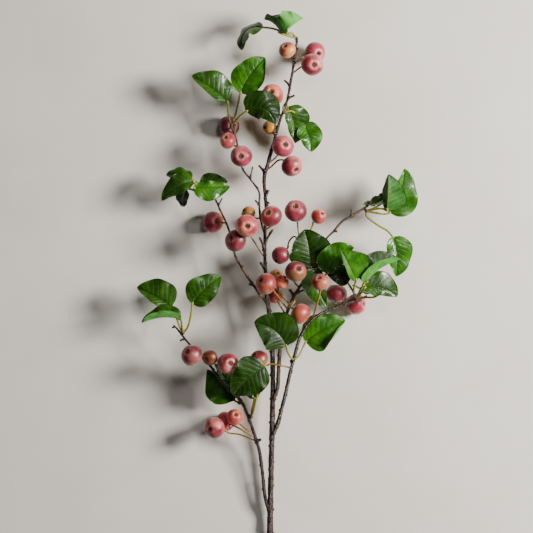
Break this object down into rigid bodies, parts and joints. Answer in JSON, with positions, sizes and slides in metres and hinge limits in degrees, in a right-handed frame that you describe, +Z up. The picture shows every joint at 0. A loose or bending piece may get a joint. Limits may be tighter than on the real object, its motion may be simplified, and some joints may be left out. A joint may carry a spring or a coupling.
{
  "type": "apple sprig",
  "caption": "Cut woody sprig lying on its side, with forked twigs, small round apples on thin stalks and sprays of broad leaves.",
  "frame": {"origin": "centre of the sprig's bounding box, on the surface it lies on", "axes": "+Y along the stem from the cut end to the tip, +X to the sprig's right as seen from above, +Z up"},
  "size_m": [0.3804, 0.8061, 0.0977],
  "materials": {
    "bark": "smooth dark brown bark with rings, knobs and pale pores, slightly glossy",
    "skin_rose": "waxy rose-red apple skin, paler towards the ends, with fine speckles",
    "skin_blush": "waxy pale pink apple skin with a rosy blush",
    "skin_coral": "waxy coral-red apple skin with orange-yellow shoulders",
    "skin_wine": "waxy dark wine-red apple skin",
    "skin_gold": "waxy orange-gold apple skin with a red flush",
    "leaf": "glossy deep green leaf, paler and duller underneath, with raised veins"
  },
  "bodies": {
    "root": {"lower_stem": "bark", "middle_stem": "bark", "upper_stem": "bark", "stem_tip": "bark", "right_branch": "bark", "lower_left_branch": "bark", "centre_branch": "bark", "left_branch": "bark", "upper_left_branch": "bark", "fruit_twig": "bark", "apple_01": "skin_blush", "apple_02": "skin_rose", "apple_03": "skin_rose", "apple_04": "skin_coral", "apple_05": "skin_gold", "apple_06": "skin_rose", "apple_07": "skin_rose", "apple_08": "skin_wine", "apple_09": "skin_blush", "apple_10": "skin_rose", "apple_11": "skin_wine", "apple_12": "skin_rose", "apple_13": "skin_blush", "apple_14": "skin_gold", "apple_15": "skin_blush", "apple_16": "skin_rose", "apple_17": "skin_coral", "apple_18": "skin_wine", "apple_19": "skin_wine", "apple_20": "skin_coral", "apple_21": "skin_gold", "apple_22": "skin_coral", "apple_23": "skin_coral", "apple_24": "skin_coral", "apple_25": "skin_coral", "apple_26": "skin_wine", "apple_27": "skin_rose", "apple_28": "skin_rose", "apple_29": "skin_gold", "apple_30": "skin_rose", "apple_31": "skin_coral", "apple_32": "skin_rose", "apple_33": "skin_blush", "apple_34": "skin_coral", "top_leaves": "leaf", "upper_left_leaves": "leaf", "upper_right_leaves": "leaf", "left_leaves": "leaf", "far_right_leaves": "leaf", "centre_leaves": "leaf", "right_leaves": "leaf", "lower_left_leaves": "leaf", "low_centre_leaves": "leaf", "broad_leaves": "leaf", "low_twig_leaves": "leaf"}
  },
  "joints": []
}
